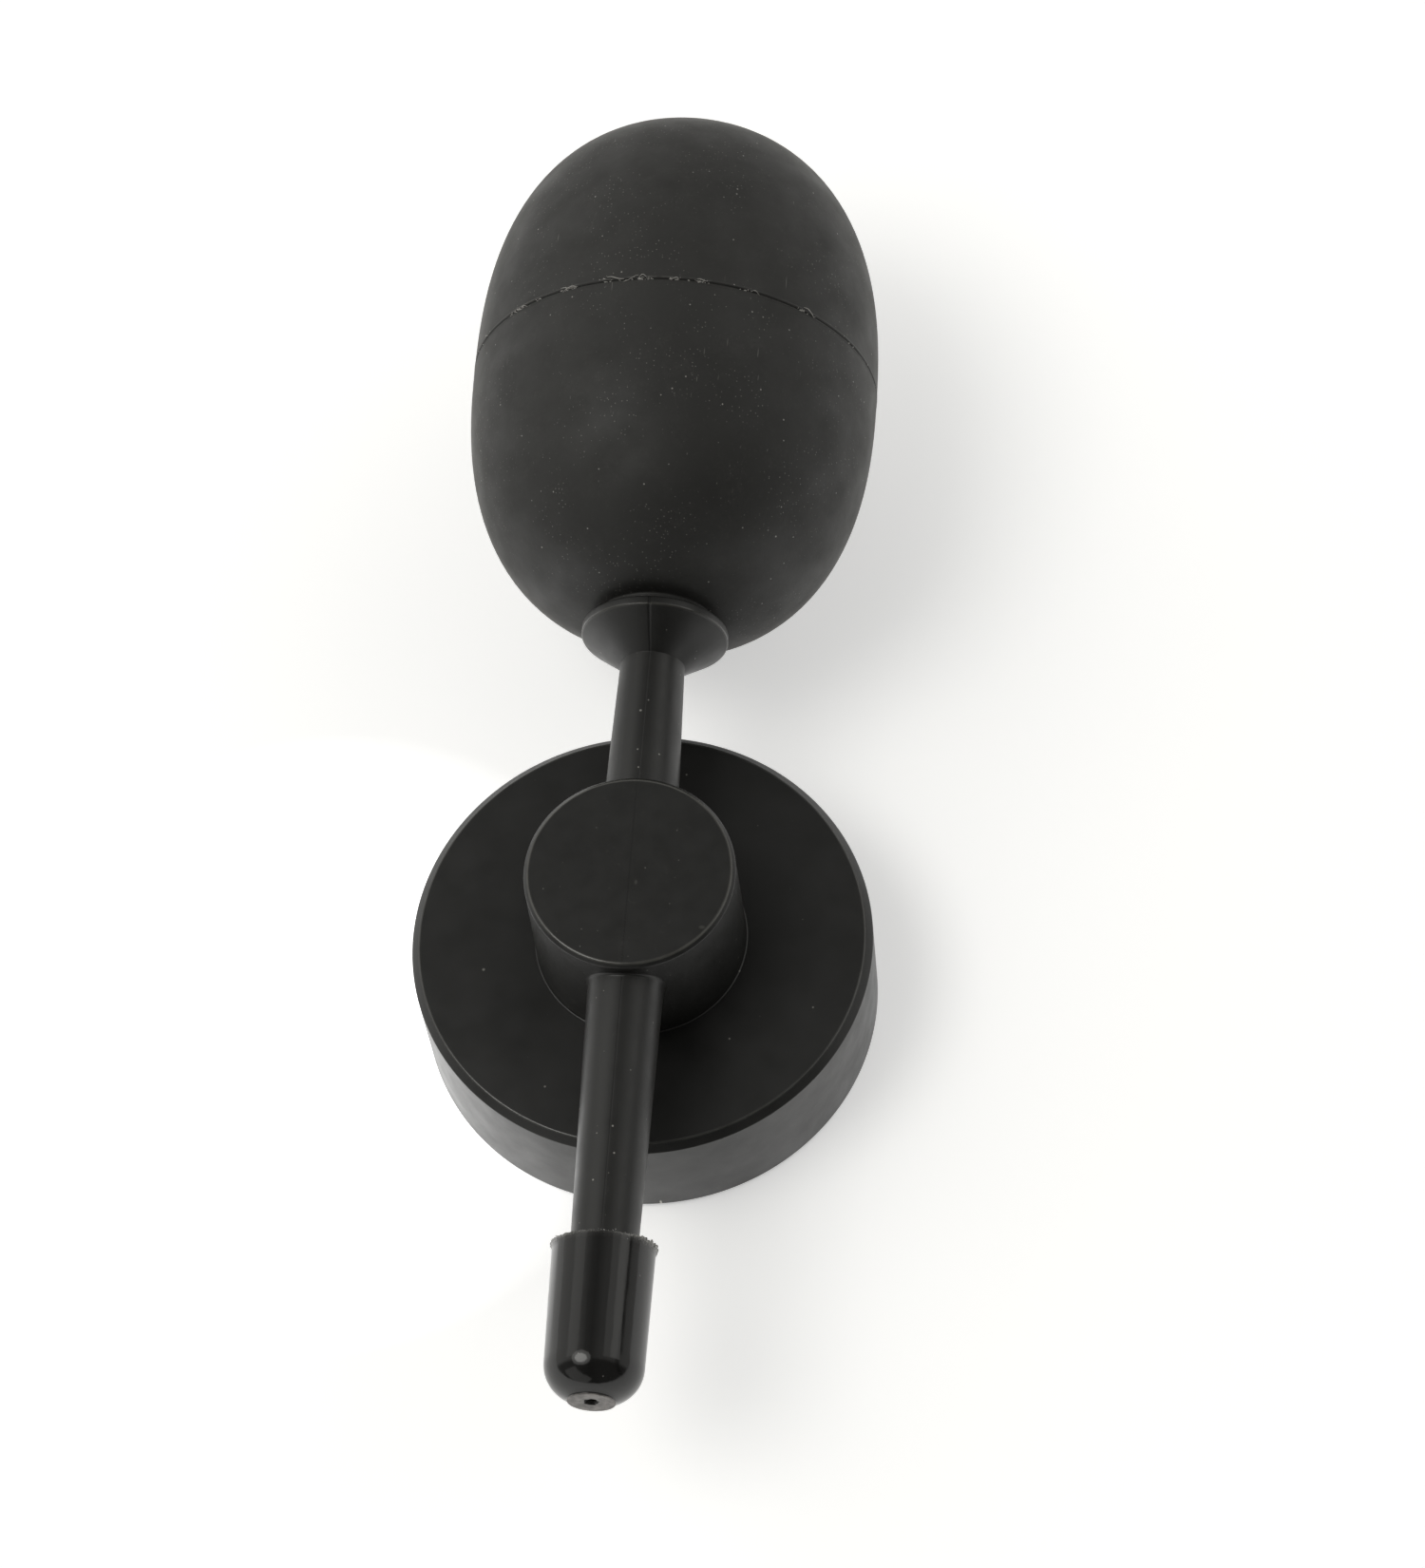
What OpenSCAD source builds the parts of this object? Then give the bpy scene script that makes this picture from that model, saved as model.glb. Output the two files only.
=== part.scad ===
// Table-top dust blower for a watchmaker's bench.
// A round weighted base carries a moulded stem. The stem's back arm holds a rubber squeeze bulb,
// and its front arm ends in a soft nozzle tip with a small air outlet.
// Frame: +Z up, the base stands on Z = 0 with its centre at the origin, the nozzle points to -Y.

/* [Base] */
// Diameter of the weighted base
base_d = 50; // [44:0.5:60]
// Height of the base's top face above the bench
base_top = 15.2; // [12.2:0.5:20.2]
// Chamfer round the base's top edge
base_chamfer = 0.85; // [0.3:0.05:1.5]

/* [Stem] */
// Diameter of the post at its flat top
post_d = 22.4; // [20:0.1:26]
// Height of the post above the base's top face
post_h = 16.1; // [15:0.1:20]
// Height of the arms' common axis above the bench
axis_z = 25.7; // [25:0.1:28]
// Diameter of both arms where they leave the post
arm_root_d = 8; // [7.4:0.1:9]
// Diameter of both arms at their far ends
arm_end_d = 7; // [6.6:0.1:7.2]
// Diameter of the air bore through both arms
bore_d = 3.8; // [2.5:0.1:4.2]
// Distance from the post's axis to the back face of the bulb flange
flange_y = 32; // [28:0.1:36]
// Diameter of the bulb flange
flange_d = 16; // [14:0.1:20]

/* [Bulb] */
// Largest diameter of the rubber bulb, at its mould line
bulb_d = 45.6; // [40:0.2:48]
// Distance from the bulb's front shoulder to its mould line
bulb_front = 30.3; // [26:0.1:34]
// Distance from the bulb's mould line to its back end
bulb_back = 31.5; // [26:0.1:36]
// Thickness of the bulb's rubber wall
bulb_wall = 2.2; // [1.6:0.1:3]

/* [Nozzle tip] */
// Distance from the post's axis to the mouth of the soft tip
tip_mouth_y = 40.3; // [34:0.1:48]
// Length of the soft tip
tip_length = 16.7; // [15:0.1:22]
// Outer diameter of the tip at its mouth
tip_mouth_d = 10.7; // [10:0.1:12]
// Diameter of the air outlet
outlet_d = 1.2; // [0.8:0.1:2]

/* [Hidden] */
$fn = 96;
overlap = 0.05;                      // lets neighbouring volumes of one solid merge

// base
pad_proud = 0.5;                     // the rubber pad stands this far below the metal
pad_h = 1.3;
pad_hole_d = 12;
pad_margin = 2;
seat_depth = 1;                      // the post stands in a shallow seat in the base
seat_gap = 0.05;
bottom_chamfer = 0.3;
seat_z = base_top - seat_depth;

// fastening
screw_d = 4;
screw_l = 14;
screw_hole_d = 4.5;
head_d = 8;
head_h = 2.6;
head_recess_d = 10;
washer_d = 7.6;
washer_h = 1;
washer_gap = 0.8;
washer_top = 5.3;
insert_d = 5.4;
insert_l = 6.2;
drive_w = 1;
drive_l = 4.6;
drive_depth = 1.4;

// stem
post_foot_d = post_d + 0.4;
post_edge = 0.42;
post_wall = 1.9;
post_cap = 2;
boss_d = 9;
rib_w = 1.4;
post_top = base_top + post_h;
cone_l = 3.4;
rim_l = 1;
flange_front = flange_y - rim_l - cone_l;
spigot_d = 9.2;
spigot_l = 8.5;
barb_h = 0.4;
barb_l = 1.8;
nose_d = 6.8;                        // the straight end that the tip slides on
nose_l = 12.7;

// bulb
bulb_p = 2.5;                        // exponent of the superellipse that the outline follows
bulb_steps = 22;
bulb_gap = 0.7;                      // from the flange to the bulb's front shoulder
bulb_y = flange_y + bulb_gap + bulb_front;
neck_d = 12.8;
neck_l = 7;
neck_step = 1;                       // from the flange to where the neck meets the bulb's front
seam_h = 0.2;
seam_w = 0.5;
side_r = 13;                         // the pressed patch on each side is a stadium this wide
side_half = 10;
side_gap = 0.25;
bulb_end = bulb_y + bulb_back;

// intake valve in the bulb's back end
valve_flange_d = 8;
valve_flange_l = 1;
valve_barrel_d = 6;
valve_l = 4.5;
valve_grip_l = 2.6;
valve_recess = 0.1;                  // the valve's face lies this far inside the bulb's end
chamber_d = 4.4;
seat_hole_d = 2.4;
seat_wall = 2;
disc_d = 3.8;
disc_h = 0.6;
retainer_h = 0.7;
retainer_bar_h = 1;
retainer_bar_w = 0.6;
retainer_hole_d = 3.2;
boss_r = 7;
boss_l = 1.4;

// nozzle tip
tip_shoulder_d = 10.3;
tip_dome_l = 4.25;
tip_dome_p = 2.2;                    // exponent of the dome's outline
tip_dome_cut = 0.15;                 // the nib's flat face lies this far inside the dome's own end
tip_bore_gap = 0.05;
nib_d = 4.9;
nib_l = 0.1;
dome_steps = 14;
outlet_land = 1.6;
funnel_l = 2.2;

// Revolves an outline of [radius, y] points about the arms' axis.
module turn_on_axis(points) {
    translate([0, 0, axis_z]) rotate([-90, 0, 0]) rotate_extrude() polygon(points);
}

// Places children, drawn along +Z, on the arms' axis so that they start at y and run to +Y.
module on_axis(y) {
    translate([0, y, axis_z]) rotate([-90, 0, 0]) children();
}

// One half of a superellipse, from its pole (t = 90) to its equator (t = 0).
function half_outline(radius, length, side, from, to) = [
    for (i = [0:bulb_steps])
        let (t = from + (to - from) * i / bulb_steps)
        [radius * pow(cos(t), 2 / bulb_p), bulb_y + side * length * pow(sin(t), 2 / bulb_p)]
];

module base_weight() {
    r = base_d / 2;
    color("#2b2c2b") difference() {
        rotate_extrude() polygon([
            [0, pad_proud], [r - bottom_chamfer, pad_proud], [r, pad_proud + bottom_chamfer],
            [r, base_top - base_chamfer], [r - base_chamfer, base_top], [0, base_top]
        ]);
        translate([0, 0, seat_z]) cylinder(d = post_foot_d + 2 * seat_gap, h = seat_depth + overlap);
        translate([0, 0, -overlap]) cylinder(d = screw_hole_d, h = base_top);
        translate([0, 0, -overlap]) cylinder(d = head_recess_d, h = washer_top + overlap);
        translate([0, 0, -overlap]) cylinder(r = r - pad_margin, h = pad_h + overlap);
    }
}

module foot_pad() {
    color("#1d1e1e") difference() {
        cylinder(r = base_d / 2 - pad_margin, h = pad_h);
        translate([0, 0, -overlap]) cylinder(d = pad_hole_d, h = pad_h + 2 * overlap);
    }
}

module base_screw() {
    head_z = washer_top - washer_h - head_h;
    color("#8d9094") difference() {
        union() {
            translate([0, 0, head_z]) cylinder(d = head_d, h = head_h);
            translate([0, 0, head_z + head_h - overlap]) cylinder(d = screw_d, h = screw_l + overlap);
        }
        for (turn = [0, 90])
            rotate(turn) translate([-drive_l / 2, -drive_w / 2, head_z - overlap])
                cube([drive_l, drive_w, drive_depth + overlap]);
    }
}

module lock_washer() {
    color("#7f8286") translate([0, 0, washer_top - washer_h]) difference() {
        cylinder(d = washer_d, h = washer_h);
        translate([0, 0, -overlap]) cylinder(d = screw_hole_d, h = washer_h + 2 * overlap);
        translate([0, -washer_gap / 2, -overlap]) cube([washer_d, washer_gap, washer_h + 2 * overlap]);
    }
}

module threaded_insert() {
    color("#b08d4a") translate([0, 0, seat_z]) difference() {
        cylinder(d = insert_d, h = insert_l);
        translate([0, 0, -overlap]) cylinder(d = screw_d + 0.04, h = insert_l + 2 * overlap);
    }
}

// The post's outside: a drafted cylinder with a small chamfer round its flat top.
module post_outside() {
    rotate_extrude() polygon([
        [0, seat_z], [post_foot_d / 2, seat_z], [post_d / 2, post_top - post_edge],
        [post_d / 2 - post_edge, post_top], [0, post_top]
    ]);
}

// The hollow that the mould's core leaves in the post, around the air tube, the screw boss and two ribs.
module post_core() {
    core_r = post_d / 2 - post_wall;
    core_top = post_top - post_cap;
    difference() {
        translate([0, 0, seat_z - overlap]) cylinder(r = core_r, h = core_top - seat_z + overlap);
        on_axis(-base_d / 2) cylinder(d = arm_root_d, h = base_d);
        cylinder(d = boss_d, h = axis_z);
        translate([-base_d / 2, -rib_w / 2, seat_z + 1]) cube([base_d, rib_w, post_h]);
    }
}

// Both arms, the bulb flange and the barbed spigot, as one outline about the arms' axis.
module arms() {
    tip_y = -tip_mouth_y - nose_l;
    turn_on_axis([
        [0, tip_y], [nose_d / 2 - 0.3, tip_y], [nose_d / 2, tip_y + 0.3],
        [nose_d / 2, -tip_mouth_y + 0.5], [arm_end_d / 2, -tip_mouth_y + 0.6],
        [arm_root_d / 2, -post_d / 2], [arm_root_d / 2, post_d / 2],
        [arm_end_d / 2, flange_front], [flange_d / 2, flange_front + cone_l],
        [flange_d / 2, flange_y], [spigot_d / 2, flange_y],
        [spigot_d / 2, flange_y + spigot_l - 2 * barb_l - 1.2],
        [spigot_d / 2 + barb_h, flange_y + spigot_l - 2 * barb_l - 1.2],
        [spigot_d / 2, flange_y + spigot_l - barb_l - 1.2],
        [spigot_d / 2, flange_y + spigot_l - barb_l],
        [spigot_d / 2 + barb_h, flange_y + spigot_l - barb_l],
        [spigot_d / 2 - 0.3, flange_y + spigot_l], [0, flange_y + spigot_l]
    ]);
}

module stem() {
    color("#333433") difference() {
        union() {
            post_outside();
            arms();
        }
        post_core();
        on_axis(-tip_mouth_y - nose_l - overlap)
            cylinder(d = bore_d, h = tip_mouth_y + nose_l + flange_y + spigot_l + 2 * overlap);
        translate([0, 0, seat_z - overlap]) cylinder(d = insert_d, h = insert_l + overlap);
    }
}

// The whole rubber bulb: a shell with a thick neck in front, a raised mould line round its middle,
// and a thick boss with a hole at the back for the intake valve.
module bulb_shell() {
    r = bulb_d / 2 - seam_h;
    inner_r = r - bulb_wall;
    outside = concat(
        [for (p = half_outline(r, bulb_front, -1, 90, 0)) if (p[0] > neck_d / 2 && p[1] < bulb_y - seam_w) p],
        [[r, bulb_y - seam_w / 2], [r + seam_h, bulb_y], [r, bulb_y + seam_w / 2]],
        [for (p = half_outline(r, bulb_back, 1, 0, 90))
            if (p[0] > valve_flange_d / 2 && p[1] > bulb_y + seam_w) p]
    );
    inside = concat(
        [for (p = half_outline(inner_r, bulb_back - bulb_wall, 1, 90, 0))
            if (p[0] > boss_r && p[1] > bulb_y) p],
        [[inner_r, bulb_y]],
        [for (p = half_outline(inner_r, bulb_front - bulb_wall, -1, 0, 90))
            if (p[0] > neck_d / 2 && p[1] < bulb_y) p]
    );
    valve_face = bulb_end - valve_recess;
    grip_out = valve_face - valve_flange_l;
    grip_in = grip_out - valve_grip_l;
    turn_on_axis(concat(
        [[spigot_d / 2, flange_y], [neck_d / 2, flange_y],
         [neck_d / 2, flange_y + neck_step]],
        outside,
        [[valve_flange_d / 2, valve_face], [valve_flange_d / 2, grip_out], [valve_barrel_d / 2, grip_out],
         [valve_barrel_d / 2, grip_in], [boss_r, grip_in]],
        inside,
        [[neck_d / 2, flange_y + neck_l], [spigot_d / 2, flange_y + neck_l]]
    ));
}

// A horizontal stadium through the bulb along X, grown all round by gap.
module side_prism(gap, from_x, length) {
    r = side_r + gap;
    translate([from_x, bulb_y, axis_z]) rotate([90, 0, 90]) linear_extrude(length) {
        for (side = [-1, 1]) translate([side * side_half, 0]) circle(r);
        square([2 * side_half, 2 * r], center = true);
    }
}

module bulb() {
    color("#353633") difference() {
        bulb_shell();
        side_prism(side_gap, -bulb_d, 2 * bulb_d);
    }
}

module bulb_side(from_x) {
    color("#353633") intersection() {
        bulb_shell();
        side_prism(0, from_x, bulb_d);
    }
}

module bulb_left_side() {
    bulb_side(-bulb_d);
}

module bulb_right_side() {
    bulb_side(0);
}

// The soft tip: a slightly tapered sleeve with a domed end and a flat nib round the outlet.
module nozzle_tip() {
    end_y = -tip_mouth_y - tip_length;
    dome_y = end_y + tip_dome_l - tip_dome_cut;
    bore_r = nose_d / 2 + tip_bore_gap;
    dome = [
        for (i = [0:dome_steps])
            let (t = 90 * i / dome_steps)
            [tip_shoulder_d / 2 * pow(cos(t), 2 / tip_dome_p),
             dome_y - tip_dome_l * pow(sin(t), 2 / tip_dome_p)]
    ];
    color("#17181a") turn_on_axis(concat(
        [[bore_r, -tip_mouth_y], [tip_mouth_d / 2, -tip_mouth_y]],
        [for (p = dome) if (p[0] > nib_d / 2) p],
        [[nib_d / 2, end_y + nib_l], [nib_d / 2, end_y], [outlet_d / 2, end_y],
         [outlet_d / 2, end_y + outlet_land], [bore_r, end_y + outlet_land + funnel_l]]
    ));
}

module valve_body() {
    face = bulb_end - valve_recess;
    grip_out = face - valve_flange_l;
    grip_in = grip_out - valve_grip_l;
    back = face - valve_l;
    color("#202122") difference() {
        turn_on_axis([
            [0, back], [valve_flange_d / 2, back], [valve_flange_d / 2, grip_in],
            [valve_barrel_d / 2, grip_in], [valve_barrel_d / 2, grip_out],
            [valve_flange_d / 2, grip_out], [valve_flange_d / 2, face], [0, face]
        ]);
        on_axis(back - overlap) cylinder(d = chamber_d, h = valve_l - seat_wall + overlap);
        on_axis(back) cylinder(d = seat_hole_d, h = valve_l + overlap);
    }
}

module valve_disc() {
    seat = bulb_end - valve_recess - seat_wall;
    color("#b9472f") on_axis(seat - disc_h) cylinder(d = disc_d, h = disc_h);
}

module valve_retainer() {
    back = bulb_end - valve_recess - valve_l;
    color("#202122") on_axis(back) {
        difference() {
            cylinder(d = chamber_d, h = retainer_h);
            translate([0, 0, -overlap]) cylinder(d = retainer_hole_d, h = retainer_h + 2 * overlap);
        }
        for (turn = [0, 90])
            rotate(turn) translate([-retainer_hole_d / 2 - 0.2, -retainer_bar_w / 2, 0])
                cube([retainer_hole_d + 0.4, retainer_bar_w, retainer_bar_h]);
    }
}

base_weight();
foot_pad();
base_screw();
lock_washer();
threaded_insert();
stem();
bulb();
bulb_left_side();
bulb_right_side();
nozzle_tip();
valve_body();
valve_disc();
valve_retainer();
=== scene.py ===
# Bench dust blower: the visual model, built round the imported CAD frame.
# The lengths below are in millimetres, and MM turns them into Blender's metres.
import math

import bmesh
import bpy
import numpy as np
from mathutils import Matrix, Vector


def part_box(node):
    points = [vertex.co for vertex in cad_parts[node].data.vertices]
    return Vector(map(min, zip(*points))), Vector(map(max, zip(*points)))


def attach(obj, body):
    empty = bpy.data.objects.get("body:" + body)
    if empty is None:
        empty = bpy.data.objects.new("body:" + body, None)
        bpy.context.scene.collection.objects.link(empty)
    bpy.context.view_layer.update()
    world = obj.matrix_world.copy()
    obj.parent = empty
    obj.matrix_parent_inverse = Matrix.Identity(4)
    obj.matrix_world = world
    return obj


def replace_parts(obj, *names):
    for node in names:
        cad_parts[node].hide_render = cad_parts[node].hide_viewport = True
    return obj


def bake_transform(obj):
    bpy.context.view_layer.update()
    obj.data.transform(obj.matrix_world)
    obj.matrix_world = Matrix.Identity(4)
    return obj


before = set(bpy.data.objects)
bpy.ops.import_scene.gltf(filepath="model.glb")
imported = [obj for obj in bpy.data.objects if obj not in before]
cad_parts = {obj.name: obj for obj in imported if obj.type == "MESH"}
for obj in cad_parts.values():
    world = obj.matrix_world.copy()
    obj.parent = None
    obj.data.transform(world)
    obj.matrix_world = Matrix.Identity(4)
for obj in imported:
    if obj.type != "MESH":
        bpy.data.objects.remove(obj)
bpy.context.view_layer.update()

MM = 0.001


def corners(node):
    """The lowest and highest corner of a CAD node, in millimetres."""
    low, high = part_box(node)
    return [v / MM for v in low], [v / MM for v in high]


# ---------------------------------------------------------------- sizes from the frame

BASE_LOW, BASE_HIGH = corners("base_weight")
PAD_HIGH = corners("foot_pad")[1]
STEM_LOW, STEM_HIGH = corners("stem")
BULB_LOW, BULB_HIGH = corners("bulb")
TIP_LOW, TIP_HIGH = corners("nozzle_tip")
VALVE_LOW, VALVE_HIGH = corners("valve_body")
WASHER_HIGH = corners("lock_washer")[1]
INSERT_LOW, INSERT_HIGH = corners("threaded_insert")

AXIS_Z = (TIP_LOW[2] + TIP_HIGH[2]) / 2     # height of the arms' common axis
BASE_R = BASE_HIGH[0]
BASE_TOP = BASE_HIGH[2]
SEAT_Z = INSERT_LOW[2]                      # floor of the seat that the post stands in
POST_TOP = 31.3
POST_TOP_R = 11.2
POST_FOOT_R = STEM_HIGH[0]
POST_EDGE = 0.42                            # chamfer round the post's top
BASE_EDGE = 0.85                            # chamfer round the base's top
ARM_ROOT_R = 4.0
ARM_END_R = 3.5
FLANGE_Y = BULB_LOW[1]                      # back face of the bulb flange
FLANGE_R = 8.0
FLANGE_CONE = 3.4
FLANGE_RIM = 1.0
CONE_Y = FLANGE_Y - FLANGE_RIM - FLANGE_CONE    # where the back arm opens into the flange's cone
SPIGOT_R = 4.6
SPIGOT_L = 8.5
NOSE_R = 3.4
BORE_R = 1.9
BULB_R = (BULB_HIGH[2] - BULB_LOW[2]) / 2
SKIN_R = BULB_R - 0.2                       # the skin at the mould line, whose lips stand proud of it
BULB_GAP = 0.7                              # from the flange's face to the front end of the bulb's outline
BULB_FRONT = 30.3
BULB_Y = FLANGE_Y + BULB_GAP + BULB_FRONT   # the mould line's plane
BULB_BACK = BULB_HIGH[1] - BULB_Y + 0.1
BULB_WALL = 2.2
BULB_POWER = 2.5                            # exponent of the outline's superellipse
NECK_R = 6.4
NECK_L = 7.0                                # how far the neck grips the spigot
SEAM_REACH = 0.8                            # the mould line's groove and lips lie this near its plane
TIP_MOUTH_Y = TIP_HIGH[1]
TIP_END_Y = TIP_LOW[1]
TIP_MOUTH_R = TIP_HIGH[0]
TIP_SHOULDER_R = 5.15
TIP_DOME = 4.25
TIP_DOME_POWER = 2.2                        # exponent of the dome's superellipse
TIP_DOME_CUT = 0.15                         # the nib's face lies this far inside the dome's own end
NIB_R = 2.45
OUTLET_R = 0.6
TIP_BORE_R = NOSE_R + 0.05
SCREW_HOLE_R = 2.25
SCREW_RECESS_R = 5.0
PAD_HOLE_R = 6.0
PAD_GROOVES = (19, 15, 11)                  # radius of each groove
PAD_GROOVE_DEPTH = 0.35
VALVE_FLANGE_R = 4.0
VALVE_BARREL_R = 3.0
VALVE_CHAMBER_R = 2.2
VALVE_HOLE_R = 1.2
VALVE_FLANGE_T = 1.0
VALVE_HOLE_L = 2.0
VALVE_BACK_L = 3.6                          # from the valve's face to the front of the bulb's wall there
VALVE_LAND_R = 7.0                          # the flat round the valve, inside the bulb

rng = np.random.default_rng(41)


def draw(low, high):
    """A random number from low to high, as a plain float."""
    return float(rng.uniform(low, high))


# ---------------------------------------------------------------- mesh helpers

def rounded(outline, steps=6):
    """A closed outline of (r, h, fillet) corners, as (r, h) points with an arc at each corner."""
    points = []
    count = len(outline)
    for i, (r, h, fillet) in enumerate(outline):
        here = Vector((r, h))
        if fillet <= 0:
            points.append((r, h))
            continue
        before = (Vector(outline[i - 1][:2]) - here).normalized()
        after = (Vector(outline[(i + 1) % count][:2]) - here).normalized()
        half = before.angle(after) / 2
        reach = fillet / math.tan(half)
        start, end = here + before * reach, here + after * reach
        centre = here + (before + after).normalized() * (fillet / math.sin(half))
        a, b = start - centre, end - centre
        sweep = a.angle(b)
        for k in range(steps + 1):
            t = k / steps
            arm = a * math.sin((1 - t) * sweep) + b * math.sin(t * sweep)
            points.append(tuple(centre + arm / math.sin(sweep)))
    return points


def hump(value, centre, width):
    """1 at centre, falling smoothly to 0 a few widths away."""
    return np.exp(-((value - centre) / width) ** 2)


def add_object(name, data):
    """A new object in the scene."""
    obj = bpy.data.objects.new(name, data)
    bpy.context.scene.collection.objects.link(obj)
    return obj


def add_mesh(name, verts, faces, smooth=35):
    """A new object from millimetre points, smooth shaded except at edges sharper than smooth degrees."""
    mesh = bpy.data.meshes.new(name)
    mesh.from_pydata([tuple(v) for v in np.asarray(verts, float) * MM], [], faces)
    tidy_normals(mesh)
    shade_smooth(mesh, smooth)
    return add_object(name, mesh)


def shade_smooth(mesh, limit):
    """Smooth shading, except at edges sharper than limit degrees."""
    mesh.shade_smooth()
    mesh.set_sharp_from_angle(angle=math.radians(limit))


def tidy_normals(mesh):
    """Turns every face outwards."""
    bm = bmesh.new()
    bm.from_mesh(mesh)
    bmesh.ops.recalc_face_normals(bm, faces=bm.faces)
    bm.to_mesh(mesh)
    bm.free()


def spin(r, h, angle, along):
    """The point of an outline at (r, h) turned to angle, about the Z axis or about the arms' axis."""
    if along == "z":
        return (r * math.sin(angle), r * math.cos(angle), h)
    return (r * math.sin(angle), h, AXIS_Z + r * math.cos(angle))


def lathe(name, points, along="z", segments=192, smooth=35, wobble=None, turns=None):
    """Revolves a closed outline of (r, h) points. wobble(i, angle) may move point i to another (r, h)."""
    turns = turns or [2 * math.pi * k / segments for k in range(segments)]
    segments = len(turns)
    verts, rings = [], []
    for i, (r, h) in enumerate(points):
        if r < 1e-6:
            rings.append([len(verts)])
            verts.append(spin(0, h, 0, along))
            continue
        rings.append(list(range(len(verts), len(verts) + segments)))
        for angle in turns:
            place = wobble(i, angle) if wobble else (r, h)
            verts.append(spin(*place, angle, along))
    faces = []
    for i in range(len(points)):
        a, b = rings[i], rings[(i + 1) % len(points)]
        if len(a) == 1 and len(b) == 1:
            continue
        for k in range(segments):
            n = (k + 1) % segments
            if len(a) == 1:
                faces.append((a[0], b[k], b[n]))
            elif len(b) == 1:
                faces.append((a[k], b[0], a[n]))
            else:
                faces.append((a[k], b[k], b[n], a[n]))
    return add_mesh(name, verts, faces, smooth)


def combine(obj, tool, operation):
    """Boolean of obj with tool, applied. The tool is removed."""
    modifier = obj.modifiers.new("boolean", "BOOLEAN")
    modifier.operation = operation
    modifier.solver = "EXACT"
    modifier.object = tool
    bpy.context.view_layer.update()
    evaluated = obj.evaluated_get(bpy.context.evaluated_depsgraph_get())
    mesh = bpy.data.meshes.new_from_object(evaluated)
    obj.modifiers.clear()
    old = obj.data
    obj.data = mesh
    bpy.data.meshes.remove(old)
    bpy.data.objects.remove(tool)


def give_attribute(obj, name, values, kind="FLOAT"):
    attribute = obj.data.attributes.new(name, kind, "POINT")
    key = "value" if kind == "FLOAT" else "vector"
    attribute.data.foreach_set(key, np.asarray(values, np.float32).ravel())


# ---------------------------------------------------------------- material helpers

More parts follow.
